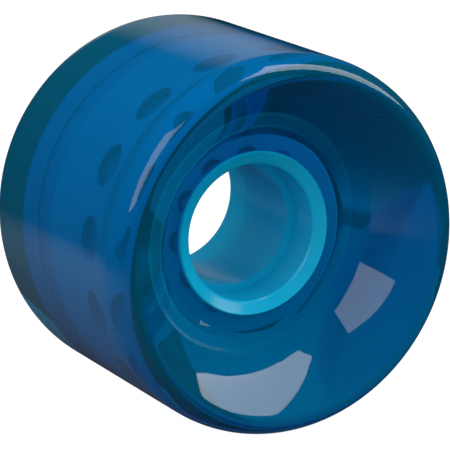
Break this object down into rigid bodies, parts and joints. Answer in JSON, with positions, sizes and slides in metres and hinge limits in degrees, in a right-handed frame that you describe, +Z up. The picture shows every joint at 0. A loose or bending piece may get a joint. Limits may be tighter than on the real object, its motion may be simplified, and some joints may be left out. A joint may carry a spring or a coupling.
{
  "type": "skateboard wheel",
  "caption": "Translucent cast-urethane skateboard wheel on a moulded core with a bearing seat at each end of its bore, deep front recess.",
  "frame": {"origin": "on the axle, half-way across the wheel", "axes": "+Y along the axle towards the rear face, -Y out of the deep front face, +Z up"},
  "size_m": [0.06, 0.046, 0.06],
  "materials": {
    "core": "satin moulded cyan plastic",
    "tyre": "glossy translucent blue cast polyurethane"
  },
  "bodies": {
    "root": {"core": "core", "tyre": "tyre"}
  },
  "joints": []
}
